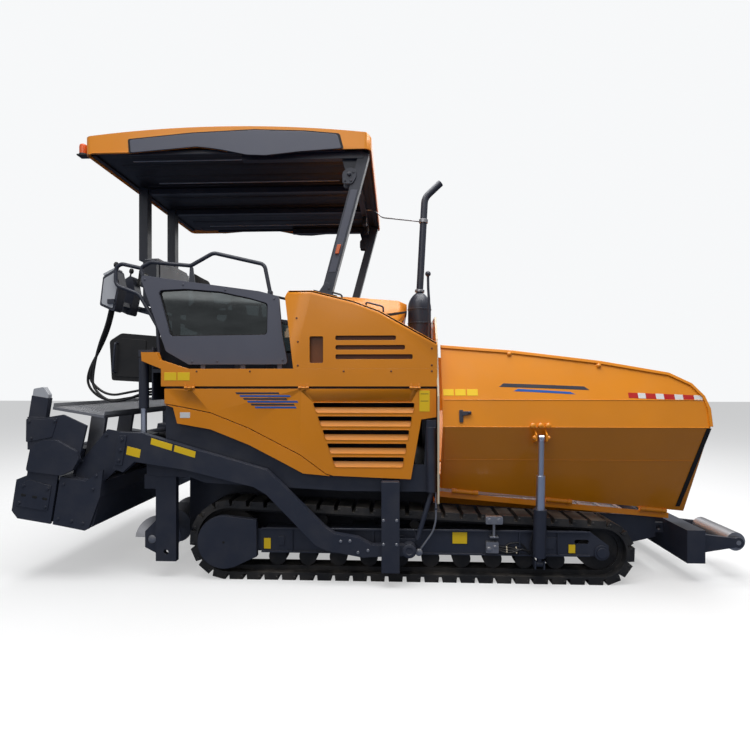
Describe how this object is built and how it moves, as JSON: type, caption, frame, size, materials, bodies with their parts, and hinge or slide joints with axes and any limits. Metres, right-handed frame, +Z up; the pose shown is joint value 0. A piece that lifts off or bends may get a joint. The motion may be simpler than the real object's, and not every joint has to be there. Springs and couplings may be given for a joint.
{
  "type": "tracked asphalt paver",
  "caption": "Tracked asphalt paver with folding hopper wings, slat conveyors, augers, canopy over the operator's station and a raised sliding screed on tow arms.",
  "frame": {"origin": "on the ground, below the centre of the overall box", "axes": "+X forward to the hopper, +Y to the machine's left, +Z up"},
  "size_m": [6.3062, 2.5586, 3.9052],
  "materials": {
    "orange_paint": "gloss",
    "dark_paint": "satin",
    "screen_paint": "satin",
    "track_steel": "dull",
    "polished_rod": "polished",
    "bare_steel": "satin",
    "tinted_glass": "polished",
    "black_plastic": "matte",
    "seat_fabric": "matte",
    "amber_lens": "gloss"
  },
  "bodies": {
    "tractor": {"chassis": "dark_paint", "conveyors": "bare_steel", "track_right": "track_steel", "track_left": "track_steel", "track_frames": "dark_paint", "track_rollers": "track_steel", "hopper_frame": "orange_paint", "push_beam": "dark_paint", "body_frame": "dark_paint", "engine": "dark_paint", "tanks": "dark_paint", "side_bands": "orange_paint", "fairings": "orange_paint", "hood": "orange_paint", "platform": "dark_paint", "side_screens": "screen_paint", "screen_glass": "tinted_glass", "handrails": "dark_paint", "consoles": "dark_paint", "seats": "seat_fabric", "canopy_roof": "orange_paint", "canopy_lining": "black_plastic", "canopy_shields": "screen_paint", "canopy_posts": "dark_paint", "exhaust": "dark_paint", "tow_guides": "dark_paint", "tow_cylinders": "dark_paint", "auger_frame": "dark_paint", "lamps": "amber_lens"},
    "screed": {"screed": "dark_paint", "screed_walkway": "bare_steel", "tow_arms": "dark_paint"},
    "wing_right": {"wing_right": "orange_paint"},
    "wing_barrel_right": {"wing_barrel_right": "dark_paint"},
    "wing_stage_right": {"wing_stage_right": "polished_rod"},
    "wing_rod_right": {"wing_rod_right": "polished_rod"},
    "push_roller_right": {"push_roller_right": "bare_steel"},
    "auger_right": {"auger_right": "bare_steel"},
    "door_right": {"door_right": "orange_paint"},
    "wing_left": {"wing_left": "orange_paint"},
    "wing_barrel_left": {"wing_barrel_left": "dark_paint"},
    "wing_stage_left": {"wing_stage_left": "polished_rod"},
    "wing_rod_left": {"wing_rod_left": "polished_rod"},
    "push_roller_left": {"push_roller_left": "bare_steel"},
    "auger_left": {"auger_left": "bare_steel"},
    "door_left": {"door_left": "orange_paint"},
    "extension_right": {"extension_right": "dark_paint"},
    "lift_barrel_right": {"lift_barrel_right": "dark_paint"},
    "lift_rod_right": {"lift_rod_right": "polished_rod"},
    "extension_left": {"extension_left": "dark_paint"},
    "lift_barrel_left": {"lift_barrel_left": "dark_paint"},
    "lift_rod_left": {"lift_rod_left": "polished_rod"}
  },
  "joints": [
    {"name": "wing_right_hinge", "type": "hinge", "parent": "tractor", "child": "wing_right", "pos_m": [0.56, -0.89994, 0.745], "axis": [0.9941, 0.051, -0.0956], "range_deg": [0, 48]},
    {"name": "wing_barrel_right_swing", "type": "hinge", "parent": "tractor", "child": "wing_barrel_right", "pos_m": [1.33, -1.19, 0.2], "axis": [0.9957, -0.0926, -0.0053], "range_deg": [0, 29.19]},
    {"name": "wing_stage_right_slide", "type": "slide", "parent": "wing_barrel_right", "child": "wing_stage_right", "axis": [0, 0.057, -0.9984], "range_m": [0, 0.18814]},
    {"name": "wing_rod_right_slide", "type": "slide", "parent": "wing_stage_right", "child": "wing_rod_right", "axis": [0, 0.057, -0.9984], "range_m": [0, 0.18814]},
    {"name": "push_roller_right_spin", "type": "hinge", "parent": "tractor", "child": "push_roller_right", "pos_m": [3.075, -0.7, 0.33], "axis": [0, 1, 0], "continuous": true},
    {"name": "auger_right_spin", "type": "hinge", "parent": "tractor", "child": "auger_right", "pos_m": [-2, -0.6, 0.33], "axis": [0, 1, 0], "continuous": true},
    {"name": "door_right_hinge", "type": "hinge", "parent": "tractor", "child": "door_right", "pos_m": [-0.65, -1.204, 1.661], "axis": [-1, 0, 0], "range_deg": [0, 80]},
    {"name": "wing_left_hinge", "type": "hinge", "parent": "tractor", "child": "wing_left", "pos_m": [0.56, 0.89994, 0.745], "axis": [-0.9941, 0.051, 0.0956], "range_deg": [0, 48]},
    {"name": "wing_barrel_left_swing", "type": "hinge", "parent": "tractor", "child": "wing_barrel_left", "pos_m": [1.33, 1.19, 0.2], "axis": [-0.9957, -0.0926, 0.0053], "range_deg": [0, 29.19]},
    {"name": "wing_stage_left_slide", "type": "slide", "parent": "wing_barrel_left", "child": "wing_stage_left", "axis": [0, -0.057, -0.9984], "range_m": [0, 0.18814]},
    {"name": "wing_rod_left_slide", "type": "slide", "parent": "wing_stage_left", "child": "wing_rod_left", "axis": [0, -0.057, -0.9984], "range_m": [0, 0.18814]},
    {"name": "push_roller_left_spin", "type": "hinge", "parent": "tractor", "child": "push_roller_left", "pos_m": [3.075, 0.7, 0.33], "axis": [0, 1, 0], "continuous": true},
    {"name": "auger_left_spin", "type": "hinge", "parent": "tractor", "child": "auger_left", "pos_m": [-2, 0.6, 0.33], "axis": [0, 1, 0], "continuous": true},
    {"name": "door_left_hinge", "type": "hinge", "parent": "tractor", "child": "door_left", "pos_m": [-0.65, 1.204, 1.661], "axis": [1, 0, 0], "range_deg": [0, 80]},
    {"name": "screed_lift", "type": "hinge", "parent": "tractor", "child": "screed", "pos_m": [0.25, 0, 0.31], "axis": [0, 1, 0], "range_deg": [-9.1, 0]},
    {"name": "extension_right_slide", "type": "slide", "parent": "screed", "child": "extension_right", "axis": [0, -1, 0], "range_m": [0, 1.2]},
    {"name": "lift_barrel_right_swing", "type": "hinge", "parent": "tractor", "child": "lift_barrel_right", "pos_m": [-2.07, -1.1, 1.96], "axis": [0, 1, 0], "range_deg": [0, 5.99]},
    {"name": "lift_rod_right_slide", "type": "slide", "parent": "lift_barrel_right", "child": "lift_rod_right", "axis": [0, 0, -1], "range_m": [0, 0.38508]},
    {"name": "extension_left_slide", "type": "slide", "parent": "screed", "child": "extension_left", "axis": [0, 1, 0], "range_m": [0, 1.2]},
    {"name": "lift_barrel_left_swing", "type": "hinge", "parent": "tractor", "child": "lift_barrel_left", "pos_m": [-2.07, 1.1, 1.96], "axis": [0, 1, 0], "range_deg": [0, 5.99]},
    {"name": "lift_rod_left_slide", "type": "slide", "parent": "lift_barrel_left", "child": "lift_rod_left", "axis": [0, 0, -1], "range_m": [0, 0.38508]}
  ],
  "couplings": [
    {"joint": "wing_barrel_right_swing", "follows": "wing_right_hinge", "ratio": 0.60387},
    {"joint": "wing_stage_right_slide", "follows": "wing_right_hinge", "m_per_rad": 0.22338},
    {"joint": "wing_rod_right_slide", "follows": "wing_right_hinge", "m_per_rad": 0.22338},
    {"joint": "wing_barrel_left_swing", "follows": "wing_left_hinge", "ratio": 0.60387},
    {"joint": "wing_stage_left_slide", "follows": "wing_left_hinge", "m_per_rad": 0.22338},
    {"joint": "wing_rod_left_slide", "follows": "wing_left_hinge", "m_per_rad": 0.22338},
    {"joint": "lift_barrel_right_swing", "follows": "screed_lift", "ratio": -0.63642},
    {"joint": "lift_rod_right_slide", "follows": "screed_lift", "m_per_rad": -2.4183},
    {"joint": "lift_barrel_left_swing", "follows": "screed_lift", "ratio": -0.63642},
    {"joint": "lift_rod_left_slide", "follows": "screed_lift", "m_per_rad": -2.4183}
  ]
}
